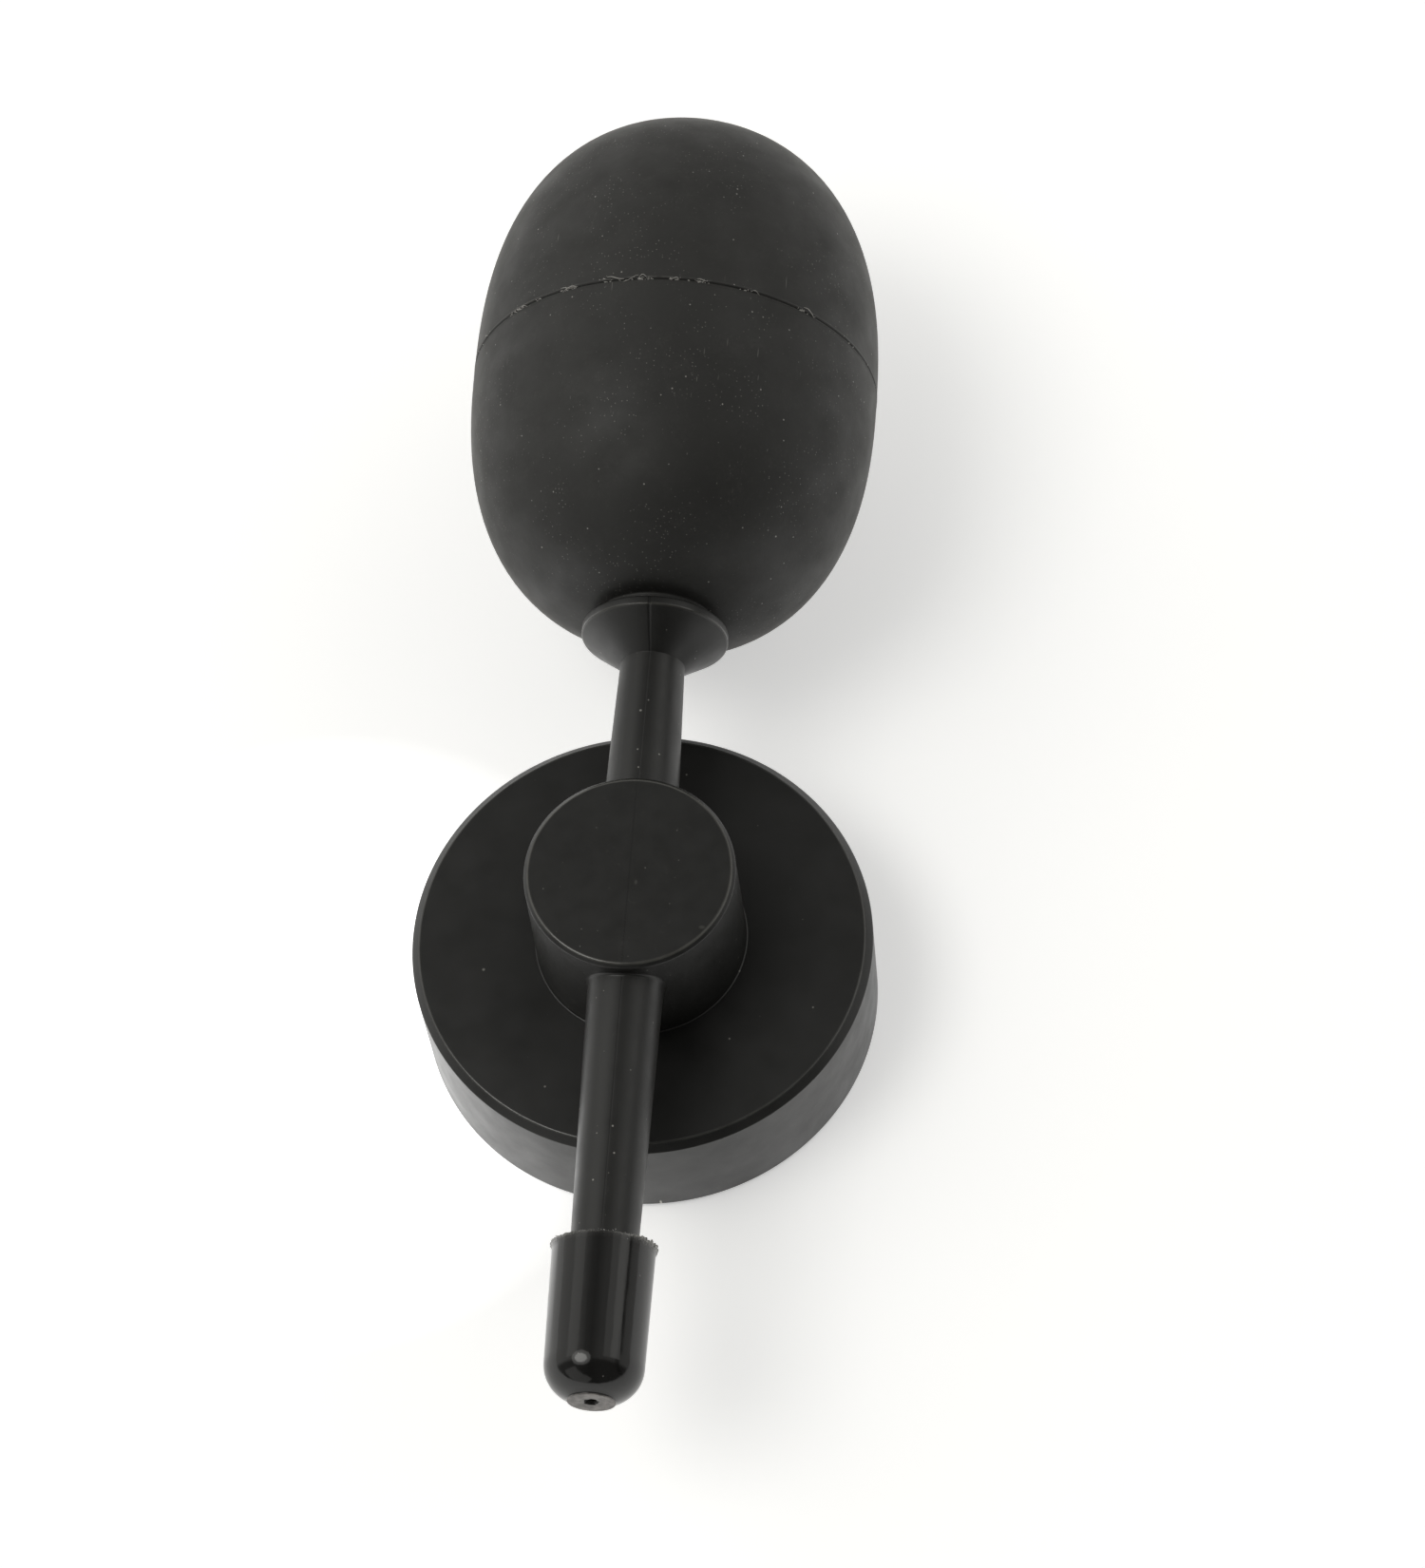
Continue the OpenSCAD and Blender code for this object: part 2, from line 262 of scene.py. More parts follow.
class Nodes:
    """Adds nodes to a tree. Each method's values may be numbers or links."""

    def __init__(self, tree):
        self.tree = tree

    def node(self, kind, inputs=(), **settings):
        made = self.tree.nodes.new(kind)
        for key, value in settings.items():
            setattr(made, key, value)
        for key, value in dict(inputs).items():
            if isinstance(value, bpy.types.NodeSocket):
                self.tree.links.new(value, made.inputs[key])
            else:
                made.inputs[key].default_value = value
        return made

    def place(self):
        """Where the point lies on the piece, in metres."""
        return self.node("ShaderNodeTexCoord").outputs["Object"]

    def attribute(self, name, output="Fac"):
        return self.node("ShaderNodeAttribute", attribute_name=name).outputs[output]

    def noise(self, place, size, detail=3.0, rough=0.55, distortion=0.0):
        """Noise whose lumps are about size millimetres across."""
        made = self.node("ShaderNodeTexNoise", {
            "Vector": place, "Scale": 1 / (size * MM), "Detail": detail, "Roughness": rough,
            "Distortion": distortion})
        return made.outputs["Fac"]

    def stretched(self, place, scale, turn=(0, 0, 0)):
        """A place turned and scaled, which draws a pattern out along an axis whose scale is small."""
        made = self.node("ShaderNodeMapping", {"Vector": place, "Scale": scale, "Rotation": turn})
        return made.outputs["Vector"]

    def spread(self, value, low, high, to_low=0.0, to_high=1.0):
        """A value from low to high, made to run from to_low to to_high and stay there."""
        made = self.node("ShaderNodeMapRange", {
            "Value": value, "From Min": low, "From Max": high, "To Min": to_low, "To Max": to_high})
        return made.outputs["Result"]

    def math(self, operation, a, b=0.0):
        made = self.node("ShaderNodeMath", {0: a, 1: b}, operation=operation)
        return made.outputs["Value"]

    def times(self, a, b):
        return self.math("MULTIPLY", a, b)

    def specks(self, place, cell, size, share, offset=0.0):
        """1 on small round specks of up to size millimetres: one in each cell, and only a share of them."""
        moved = self.node("ShaderNodeVectorMath", {0: place, 1: (offset, offset, offset)}).outputs["Vector"]
        cells = self.node("ShaderNodeTexVoronoi", {"Vector": moved, "Scale": 1 / (cell * MM)})
        kept = self.math("LESS_THAN", self.node(
            "ShaderNodeSeparateColor", {"Color": cells.outputs["Color"]}).outputs["Red"], share)
        near = self.spread(cells.outputs["Distance"], size / cell, size / cell * 0.5)
        return self.times(kept, near)

    def spot(self, place, centre, scale, size):
        """1 inside a small spot round centre, in millimetres. scale squeezes it along X, Y and Z."""
        at = tuple(c * MM * k for c, k in zip(centre, scale))
        moved = self.stretched(place, scale)
        gap = self.node("ShaderNodeVectorMath", {0: moved, 1: at}, operation="DISTANCE").outputs["Value"]
        return self.spread(gap, size * MM, size * MM * 0.4)

    def edge(self, place, radius, along, level, half, turned="Z"):
        """1 near a turned edge: within half of its radius, and within along of its level on the axis."""
        parts = self.node("ShaderNodeSeparateXYZ", {"Vector": place}).outputs
        if turned == "Z":
            a, b, up = parts["X"], parts["Y"], parts["Z"]
        else:
            a, b, up = parts["X"], self.math("SUBTRACT", parts["Z"], AXIS_Z * MM), parts["Y"]
        r = self.math("SQRT", self.math("ADD", self.times(a, a), self.times(b, b)))
        off_r = self.math("ABSOLUTE", self.math("SUBTRACT", r, radius * MM))
        off_up = self.math("ABSOLUTE", self.math("SUBTRACT", up, level * MM))
        inside = self.math("LESS_THAN", off_up, along * MM)
        return self.times(self.spread(off_r, half * MM, half * 0.4 * MM), inside)

    def mix(self, factor, first, second):
        """The colour first, turning to second as factor goes from 0 to 1."""
        made = self.node("ShaderNodeMix", data_type="RGBA")
        for key, value in ((0, factor), (6, first), (7, second)):
            if isinstance(value, bpy.types.NodeSocket):
                self.tree.links.new(value, made.inputs[key])
            else:
                made.inputs[key].default_value = value if key == 0 else (*value, 1)
        return made.outputs[2]


class Shader(Nodes):
    """One node material, built round a Principled shader."""

    def __init__(self, name, color, roughness, **sockets):
        self.material = bpy.data.materials.new(name)
        self.material.use_nodes = True
        super().__init__(self.material.node_tree)
        self.shader = self.tree.nodes["Principled BSDF"]
        self.shader.inputs["Base Color"].default_value = (*color, 1)
        self.shader.inputs["Roughness"].default_value = roughness
        for socket, value in sockets.items():
            self.shader.inputs[socket.replace("_", " ")].default_value = value

    def color(self, link):
        self.tree.links.new(link, self.shader.inputs["Base Color"])

    def roughness(self, link):
        self.tree.links.new(link, self.shader.inputs["Roughness"])

    def bump(self, height, depth):
        """Adds relief of depth millimetres. Several calls stack."""
        made = self.node("ShaderNodeBump", {"Height": height, "Distance": depth * MM})
        target = self.shader.inputs["Normal"]
        if target.is_linked:
            self.tree.links.new(target.links[0].from_socket, made.inputs["Normal"])
        self.tree.links.new(made.outputs["Normal"], target)


# Tones of dust, wear and bloom on the black pieces, from faint to bright, slightly warm.
SMEAR_TONE = (0.10, 0.098, 0.090)
SCRATCH_TONE = (0.15, 0.148, 0.138)
FINE_DUST_TONE = (0.20, 0.195, 0.18)
DUST_TONE = (0.36, 0.35, 0.33)
BRIGHT_DUST_TONE = (0.55, 0.54, 0.51)

# Marks that sit at known places, as (x, y, size) in millimetres.
BASE_SPECKS = (
    (-16.8, -4.4, 0.20), (-9.0, -17.9, 0.15), (3.5, 20.0, 0.13), (10.3, -11.6, 0.14), (19.0, -7.6, 0.13))
BACK_ARM_SPECKS = (
    (-0.45, 20.2, 0.17), (0.3, 21.5, 0.10), (-0.4, 15.4, 0.12), (1.9, 15.1, 0.12), (-0.15, 13.2, 0.12))
# Smears on the post's top, as (x, y), how each is squeezed along X, Y and Z, and its size.
POST_SMEARS = (
    ((0.8, -1.3), (1, 0.55, 1), 0.20),
    ((8.1, -6.3), (0.6, 1, 1), 0.26))
# A nick in the coating on the base's side: degrees round the axis, height, squeeze and size.
NICK_TURN, NICK_HEIGHT, NICK_SQUEEZE, NICK_SIZE = 173.5, 1.1, (1, 1, 0.25), 0.16


def rubber_skin():
    """The bulb: matte charcoal rubber with bloom, scuffs and dust specks."""
    s = Shader("bulb_rubber", (0.0125, 0.0123, 0.0110), 0.60, Sheen_Weight=0.11,
               Sheen_Roughness=0.30, Sheen_Tint=(0.85, 0.83, 0.76, 1), Specular_IOR_Level=0.5)
    place = s.attribute("rest_place", "Vector")
    cloud = s.spread(s.noise(place, 14, 4, 0.6, 0.6), 0.35, 0.7)
    shade = s.mix(cloud, (0.0110, 0.0108, 0.0096), (0.0144, 0.0141, 0.0126))
    mottle = s.spread(s.noise(place, 0.45, 4, 0.75), 0.40, 0.64)
    bloom = s.times(s.spread(s.noise(place, 3.2, 4, 0.68, 0.8), 0.48, 0.66), mottle)
    shade = s.mix(bloom, shade, (0.0190, 0.0186, 0.0167))
    scuffs = s.noise(s.stretched(place, (1.6, 0.5, 1.6), (0.2, 0.1, 0.5)), 2.2, 6, 0.72, 1.2)
    scuffed = s.times(s.spread(scuffs, 0.60, 0.78, 0, 0.6), s.spread(s.noise(place, 22, 2), 0.45, 0.62))
    shade = s.mix(scuffed, shade, (0.045, 0.044, 0.040))
    rubbed = s.spread(s.noise(place, 6.5, 2), 0.48, 0.60)
    for turn, offset in (((0.3, 0.2, 0.15), 0.11), ((0.1, 1.2, -0.5), 0.47), ((1.1, 0.4, 0.9), 0.83)):
        scratch = s.specks(s.stretched(place, (1, 0.07, 1), turn), 0.9, 0.075, 0.45, offset)
        scratched = s.times(scratch, s.times(rubbed, 0.45))
        shade = s.mix(scratched, shade, SCRATCH_TONE)
    patchy = s.spread(s.noise(place, 8, 3, 0.6), 0.48, 0.60, 0.05, 1.0)
    fine = s.times(s.specks(place, 0.40, 0.085, 0.55), patchy)
    shade = s.mix(s.times(fine, 0.55), shade, FINE_DUST_TONE)
    medium = s.times(s.specks(place, 1.3, 0.11, 0.34, 0.31), 0.7)
    shade = s.mix(medium, shade, DUST_TONE)
    shade = s.mix(s.specks(place, 4.5, 0.15, 0.28, 0.77), shade, BRIGHT_DUST_TONE)
    shade = s.mix(s.attribute("dusting"), shade, DUST_TONE)
    s.color(shade)
    s.roughness(s.spread(s.noise(place, 5, 4), 0.3, 0.7, 0.52, 0.68))
    s.bump(s.noise(place, 0.35, 3), 0.010)
    s.bump(s.noise(place, 4.5, 2), 0.020)
    return s.material


def moulded_plastic():
    """The stem: satin black moulding with a faint grain, a parting line darkened by painted shade, and rubbed
    edges lightened further by a painted highlight.
    """
    s = Shader("stem_plastic", (0.009, 0.009, 0.0088), 0.38, Specular_IOR_Level=0.5)
    place = s.place()
    cloud = s.spread(s.noise(place, 8, 3), 0.35, 0.65)
    shade = s.mix(cloud, (0.0060, 0.0060, 0.0053), (0.0085, 0.0085, 0.0076))
    parts = s.node("ShaderNodeSeparateXYZ", {"Vector": place})
    across = s.math("ABSOLUTE", parts.outputs["X"])
    # Painted shade: the parting line is darkened, more on the flange, standing in for the shade in its
    # groove.
    parting = s.spread(across, 0.16 * MM, 0.06 * MM)
    parting_shade_on_flange = s.spread(parts.outputs["Y"], 27.0 * MM, 28.0 * MM, 0.25, 0.85)
    shade = s.mix(s.times(parting, parting_shade_on_flange), shade, (0.003, 0.003, 0.003))
    rubbed = s.times(s.spread(s.noise(place, 1.1, 5, 0.7, 0.5), 0.62, 0.76),
                     s.spread(s.noise(place, 9, 2), 0.50, 0.62))
    shade = s.mix(s.times(rubbed, 0.35), shade, (0.06, 0.058, 0.054))
    fine = s.times(s.specks(place, 1.5, 0.10, 0.45), 0.55)
    shade = s.mix(fine, shade, FINE_DUST_TONE)
    below_top = s.spread(parts.outputs["Z"], (POST_TOP - 1.5) * MM, (POST_TOP - 0.6) * MM, 1.0, 0.12)
    coarse = s.times(s.specks(place, 2.0, 0.13, 0.5, 0.4), below_top)
    shade = s.mix(coarse, shade, (0.28, 0.27, 0.25))
    for (x, y), squeeze, size in POST_SMEARS:
        smear = s.times(s.spot(place, (x, y, POST_TOP), squeeze, size), 0.35)
        shade = s.mix(smear, shade, SMEAR_TONE)
    for x, y, size in BACK_ARM_SPECKS:
        r = ARM_ROOT_R + (ARM_END_R - ARM_ROOT_R) * (y - POST_TOP_R) / (CONE_Y - POST_TOP_R)
        speck = s.spot(place, (x, y, AXIS_Z + math.sqrt(r ** 2 - x ** 2)), (1, 1, 0.5), size)
        shade = s.mix(speck, shade, (0.24, 0.235, 0.22))
    uneven = s.spread(s.noise(place, 2.5, 3), 0.3, 0.7, 0.55, 1.0)
    # Rubbed edges round the post's top and the flange's rim, lightened further as a painted highlight.
    post_edge_wear_and_highlight = s.edge(place, POST_TOP_R - POST_EDGE, 0.12, POST_TOP, 0.22)
    flange_edge_wear_and_highlight = s.edge(place, FLANGE_R - 0.03, 0.16, FLANGE_Y - FLANGE_RIM, 0.14, "Y")
    for worn, color in ((post_edge_wear_and_highlight, (0.075, 0.074, 0.068)), (flange_edge_wear_and_highlight, (0.045, 0.044, 0.040))):
        shade = s.mix(s.times(worn, uneven), shade, color)
    s.color(shade)
    satin = s.spread(s.noise(place, 2.4, 4), 0.3, 0.7, 0.36, 0.45)
    polished = s.times(s.math("MAXIMUM", post_edge_wear_and_highlight, flange_edge_wear_and_highlight), 0.24)
    s.roughness(s.math("SUBTRACT", satin, polished))
    s.bump(s.noise(place, 0.18, 2), 0.0022)
    s.bump(s.noise(s.stretched(place, (1.0, 0.25, 1.0)), 1.2, 2), 0.008)
    return s.material


def coated_metal():
    """The base: satin black coating over metal, rubbed along its top edge, which is lightened further as a
    painted highlight.
    """
    s = Shader("base_coating", (0.009, 0.009, 0.0088), 0.38, Specular_IOR_Level=0.55)
    place = s.place()
    cloud = s.spread(s.noise(place, 11, 3), 0.35, 0.65)
    shade = s.mix(cloud, (0.0060, 0.0060, 0.0054), (0.0083, 0.0083, 0.0076))
    turned = s.noise(s.stretched(place, (0.15, 0.15, 1.0)), 0.12, 3)
    shade = s.mix(s.times(s.specks(place, 1.9, 0.09, 0.45), 0.5), shade, (0.16, 0.155, 0.145))
    shade = s.mix(s.specks(place, 6.0, 0.15, 0.5, 0.6), shade, (0.17, 0.165, 0.15))
    nick = math.radians(NICK_TURN)
    nick_place = (BASE_R * math.sin(nick), BASE_R * math.cos(nick), NICK_HEIGHT)
    shade = s.mix(s.spot(place, nick_place, NICK_SQUEEZE, NICK_SIZE), shade, (0.60, 0.58, 0.53))
    for x, y, size in BASE_SPECKS:
        shade = s.mix(s.spot(place, (x, y, BASE_TOP), (1, 1, 0.3), size), shade, (0.19, 0.185, 0.17))
    uneven = s.spread(s.noise(place, 3.0, 3), 0.3, 0.7, 0.55, 1.0)
    # Rubbed coating along the top edge and at the chamfer's foot, lightened further as a painted highlight.
    worn = s.math("MAXIMUM", s.edge(place, BASE_R - BASE_EDGE, 0.12, BASE_TOP, 0.19),
                  s.times(s.edge(place, BASE_R, 0.08, BASE_TOP - BASE_EDGE, 0.10), 0.5))
    shade = s.mix(s.times(worn, uneven), shade, (0.056, 0.056, 0.053))
    s.color(shade)
    satin = s.spread(s.noise(place, 3.5, 4), 0.3, 0.7, 0.34, 0.43)
    s.roughness(s.math("SUBTRACT", satin, s.times(worn, 0.18)))
    s.bump(s.noise(place, 0.22, 2), 0.003)
    s.bump(turned, 0.0015)
    return s.material


def glossy_vinyl():
    """The tip: glossy dip-moulded vinyl, with its cut mouth dusted and its nib's face matte."""
    s = Shader("tip_vinyl", (0.005, 0.005, 0.0052), 0.10, Specular_IOR_Level=0.5)
    place = s.place()
    dusting, nib_face = s.attribute("dusting"), s.attribute("nib_face")
    cloud = s.spread(s.noise(place, 5, 3), 0.4, 0.7)
    shade = s.mix(cloud, (0.0085, 0.0083, 0.0080), (0.0105, 0.0103, 0.0098))
    shade = s.mix(s.times(s.specks(place, 1.3, 0.09, 0.4), 0.7), shade, (0.22, 0.21, 0.20))
    shade = s.mix(s.specks(place, 4.0, 0.14, 0.5, 0.2), shade, (0.40, 0.39, 0.37))
    grit = s.spread(s.noise(place, 0.22, 3, 0.7), 0.46, 0.62, 0.3, 1.0)
    shade = s.mix(s.times(dusting, grit), shade, (0.66, 0.65, 0.62))
    blotches = s.spread(s.noise(place, 0.8, 4, 0.7), 0.38, 0.60, 0.45, 1.0)
    shade = s.mix(s.times(nib_face, blotches), shade, (0.23, 0.216, 0.205))
    s.color(shade)
    smooth = s.spread(s.noise(place, 2.0, 3), 0.3, 0.7, 0.08, 0.15)
    worn = s.math("MAXIMUM", s.times(dusting, 0.6), s.times(nib_face, 0.55))
    s.roughness(s.math("MAXIMUM", smooth, worn))
    s.bump(s.noise(place, 1.6, 2), 0.010)
    s.bump(s.noise(s.stretched(place, (1.0, 0.12, 1.0)), 0.9, 2), 0.012)
    return s.material


def plain(name, color, roughness, grain, depth, **sockets):
    """A hidden or small piece's material: a colour that varies a little, and a fine relief."""
    s = Shader(name, color, roughness, **sockets)
    place = s.place()
    lighter = tuple(min(1, c * 1.35) for c in color)
    s.color(s.mix(s.spread(s.noise(place, grain * 6, 3), 0.3, 0.7), color, lighter))
    rougher = min(1, roughness * 1.15)
    s.roughness(s.spread(s.noise(place, grain * 3, 3), 0.3, 0.7, roughness * 0.85, rougher))
    s.bump(s.noise(place, grain, 3), depth)
    return s.material


# ---------------------------------------------------------------- pieces

def make_base():
    """The weighted base, with the post's seat, the screw's recess and the pad's ring."""
    seat_r = POST_FOOT_R + 0.03
    pad_r = PAD_HIGH[0]
    outline = rounded([
        (SCREW_HOLE_R, WASHER_HIGH[2], 0), (SCREW_HOLE_R, SEAT_Z, 0), (seat_r, SEAT_Z, 0),
        (seat_r, BASE_TOP, 0.02), (BASE_R - BASE_EDGE, BASE_TOP, 0.32), (BASE_R, BASE_TOP - BASE_EDGE, 0.15),
        (BASE_R, BASE_LOW[2], 0.35), (pad_r, BASE_LOW[2], 0.1), (pad_r, PAD_HIGH[2], 0),
        (SCREW_RECESS_R, PAD_HIGH[2], 0.1), (SCREW_RECESS_R, WASHER_HIGH[2], 0)])
    base = lathe("base_body", outline, segments=320)
    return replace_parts(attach(base, "blower"), "base_weight")


def make_pad():
    """The grooved rubber ring under the base."""
    outline = [
        (PAD_HOLE_R, 0, 0.25), (PAD_HOLE_R, PAD_HIGH[2], 0),
        (PAD_HIGH[0], PAD_HIGH[2], 0), (PAD_HIGH[0], 0, 0.35)]
    for groove_r in PAD_GROOVES:
        outline += [
            (groove_r + 0.5, 0, 0.15), (groove_r + 0.25, PAD_GROOVE_DEPTH, 0.05),
            (groove_r - 0.25, PAD_GROOVE_DEPTH, 0.05), (groove_r - 0.5, 0, 0.15)]
    pad = lathe("foot_pad_ring", rounded(outline, 3), segments=256)
    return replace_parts(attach(pad, "blower"), "foot_pad")


def arm_outline():
    """The outline of both arms, the nose, the flange and the barbed spigot, as (r, y) points."""
    end_y = FLANGE_Y + SPIGOT_L
    barb, barb_l = 0.4, 1.8
    nose_y = STEM_LOW[1]
    return rounded([
        (BORE_R, nose_y, 0.15), (NOSE_R, nose_y, 0.3),
        (NOSE_R, TIP_MOUTH_Y - 0.2, 0), (ARM_END_R, TIP_MOUTH_Y - 0.1, 0.05),
        (ARM_ROOT_R, -POST_TOP_R, 0), (ARM_ROOT_R, POST_TOP_R, 0),
        (ARM_END_R, CONE_Y, 0.08), (FLANGE_R, FLANGE_Y - FLANGE_RIM, 0.14),
        (FLANGE_R, FLANGE_Y, 0.22), (SPIGOT_R, FLANGE_Y, 0.15),
        (SPIGOT_R, end_y - 2 * barb_l - 1.2, 0), (SPIGOT_R + barb, end_y - 2 * barb_l - 1.2, 0.1),
        (SPIGOT_R, end_y - barb_l - 1.2, 0), (SPIGOT_R, end_y - barb_l, 0),
        (SPIGOT_R + barb, end_y - barb_l, 0.1), (SPIGOT_R - 0.3, end_y, 0.15),
        (BORE_R, end_y, 0.15)])


PARTING = (0.010, 0.022)                    # the groove's half width, at its floor and top, in radians
HAIR_DEPTH = 0.015                          # the parting line's depth on the arms
GROOVE_DEPTH = 0.085                        # and how much deeper it is on the flange
FOOT_LIP = (0.15, 0.09)                     # how far the post's foot lip stands out, and its height
ROOT_FILLET = 0.32                          # radius between the post and each arm


def parting_turns(count):
    """Turns round a circle, evenly spaced but for a few more beside the mould's parting line."""
    turns = [2 * math.pi * k / count for k in range(count)]
    for line in (0, math.pi):
        turns += [line + side * reach for side in (-1, 1) for reach in PARTING]
    return sorted(turn % (2 * math.pi) for turn in turns)


def make_stem():
    """The post, both arms, the flange and the spigot, as one moulding."""
    outline = arm_outline()

    def parting(i, angle):
        """The parting line is a hair on the arms and a plain groove on the flange."""
        r, h = outline[i]
        off = abs((angle + math.pi / 2) % math.pi - math.pi / 2)
        if r < BORE_R + 0.5 or h < TIP_MOUTH_Y or h > FLANGE_Y - 0.1 or off > PARTING[0] + 1e-6:
            return r, h
        depth = HAIR_DEPTH + GROOVE_DEPTH * min(1, max(0, (r - 3.7) / 1.2))
        return r - depth, h

    arms = lathe("arms", outline, "y", wobble=parting, turns=parting_turns(160))
    lip, lip_h = FOOT_LIP
    post_outline = rounded([
        (0, SEAT_Z, 0), (POST_FOOT_R, SEAT_Z, 0.1), (POST_FOOT_R, BASE_TOP + 0.005, 0),
        (POST_FOOT_R + lip, BASE_TOP + 0.005, 0.02), (POST_FOOT_R + lip, BASE_TOP + lip_h, 0.07),
        (POST_FOOT_R, BASE_TOP + lip_h + 0.06, 0.05),
        (POST_TOP_R, POST_TOP - POST_EDGE, 0.22), (POST_TOP_R - POST_EDGE, POST_TOP, 0.42), (0, POST_TOP, 0)])
    post = lathe("stem_moulding", post_outline, segments=256)
    combine(post, arms, "UNION")
    for side in (-1, 1):
        combine(post, root_fillet(side, ROOT_FILLET), "UNION")
    combine(post, witness_line(), "UNION")
    reach = POST_FOOT_R + 3
    bore = [(0, -reach), (BORE_R, -reach), (BORE_R, reach), (0, reach)]
    combine(post, lathe("bore", bore, "y", 48), "DIFFERENCE")
    insert_r, insert_top = INSERT_HIGH[0], INSERT_HIGH[2]
    insert_low = SEAT_Z - 1
    hole = [(0, insert_low), (insert_r, insert_low), (insert_r, insert_top), (0, insert_top)]
    combine(post, lathe("insert_hole", hole, segments=64), "DIFFERENCE")
    shade_smooth(post.data, 30)
    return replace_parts(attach(post, "blower"), "stem")


def root_fillet(side, size):
    """A ring that rounds the inner corner between the post and one arm."""
    arm_r = ARM_ROOT_R - 0.01
    section = [(arm_r + size * (1 - math.sin(t)), size * (1 - math.cos(t)))
               for t in np.linspace(0, math.pi / 2, 7)]
    section += [(arm_r - 0.3, size), (arm_r - 0.3, -0.3), (arm_r + size, -0.3)]
    count, verts, faces = 128, [], []
    for k in range(count):
        angle = 2 * math.pi * (k + 0.5) / count
        for r, out in section:
            x, z = r * math.sin(angle), AXIS_Z + r * math.cos(angle)
            post_r = POST_FOOT_R + (POST_TOP_R - POST_FOOT_R) * (z - BASE_TOP) / (POST_TOP - BASE_TOP)
            verts.append((x, side * (math.sqrt(post_r ** 2 - x ** 2) - 0.01 + out), z))
    width = len(section)
    for k in range(count):
        n = (k + 1) % count
        for i in range(width):
            j = (i + 1) % width
            faces.append((k * width + i, k * width + j, n * width + j, n * width + i))
    return add_mesh("root_fillet", verts, faces)


def witness_line():
    """The hair of plastic that the mould's halves leave along the post's top."""
    half, rise = 0.05, 0.022
    end = POST_TOP_R - POST_EDGE - 0.1
    section = [(-half, -0.1), (half, -0.1), (half * 0.5, rise), (-half * 0.5, rise)]
    verts = [(x, y, POST_TOP + z) for y in (-end, end) for x, z in section]
    faces = [(0, 1, 2, 3), (7, 6, 5, 4)]
    faces += [(k, k + 4, (k + 1) % 4 + 4, (k + 1) % 4) for k in range(4)]
    return add_mesh("witness_line", verts, faces)


def superellipse(radius, length, side):
    """A quarter outline of the bulb, from the mould line to one end, as (r, y) points."""
    t = np.linspace(0, math.pi / 2, 600)
    r = radius * np.cos(t) ** (2 / BULB_POWER)
    y = BULB_Y + side * length * np.sin(t) ** (2 / BULB_POWER)
    return np.column_stack([np.clip(r, 0, None), y])


def evenly(points, spacing):
    """The same line with points about spacing millimetres apart."""
    points = np.asarray(points, float)
    run = np.concatenate([[0], np.cumsum(np.linalg.norm(np.diff(points, axis=0), axis=1))])
    marks = np.linspace(0, run[-1], max(2, round(run[-1] / spacing) + 1))
    return np.column_stack([np.interp(marks, run, points[:, k]) for k in (0, 1)])


def bulb_outlines():
    """The bulb's outside, from its neck to its valve hole, and its inside, back to the neck, as (r, y)."""
    hole_r = (VALVE_HIGH[0] - VALVE_LOW[0]) / 2
    near, far = superellipse(SKIN_R, BULB_FRONT, -1), superellipse(SKIN_R, BULB_BACK, 1)
    neck_fillet = 0.25
    fine, coarse = 1.1, 2.5                 # spacing of the points outside and inside
    near = near[(near[:, 0] > NECK_R + neck_fillet) & (near[:, 1] < BULB_Y - SEAM_REACH)][::-1]
    far = far[(far[:, 0] > hole_r + 0.35) & (far[:, 1] > BULB_Y + SEAM_REACH)]
    seam_y = BULB_Y + np.linspace(-SEAM_REACH, SEAM_REACH, 25)
    seam = np.column_stack([np.full(25, SKIN_R), seam_y])
    turn = np.linspace(0, math.pi / 2, 6)
    fillet = np.column_stack([
        NECK_R + neck_fillet * (1 - np.cos(turn)),
        near[0, 1] - neck_fillet + neck_fillet * np.sin(turn)])
    back_y = VALVE_HIGH[1]
    outside = np.concatenate([
        [[SPIGOT_R, FLANGE_Y], [NECK_R - 0.2, FLANGE_Y], [NECK_R, FLANGE_Y + 0.2]], fillet[:-1],
        evenly(near, fine), seam, evenly(far, fine),
        [[hole_r + 0.1, far[-1, 1] + 0.02], [hole_r, back_y - 0.1], [hole_r, back_y - VALVE_FLANGE_T],
         [VALVE_BARREL_R, back_y - VALVE_FLANGE_T], [VALVE_BARREL_R, back_y - VALVE_BACK_L]]])
    inner_r = SKIN_R - BULB_WALL
    far_in = superellipse(inner_r, BULB_BACK - BULB_WALL, 1)
    near_in = superellipse(inner_r, BULB_FRONT - BULB_WALL, -1)
    far_in = far_in[far_in[:, 0] > VALVE_LAND_R][::-1]
    near_in = near_in[near_in[:, 0] > NECK_R]
    inside = np.concatenate([
        [[VALVE_LAND_R, back_y - VALVE_BACK_L]], evenly(far_in, coarse), evenly(near_in, coarse)[1:],
        [[NECK_R, FLANGE_Y + NECK_L], [SPIGOT_R, FLANGE_Y + NECK_L]]])
    return outside, inside


def seam_relief(offset, ragged):
    """How far the skin stands out at offset millimetres behind the mould line: a groove and two lips."""
    groove = -0.125 * hump(offset, -0.03, 0.085)
    back_lip = (0.03 + 0.17 * ragged) * hump(offset, 0.17, 0.10)
    front_lip = (0.02 + 0.05 * ragged) * hump(offset, -0.25, 0.10)
    return groove + back_lip + front_lip


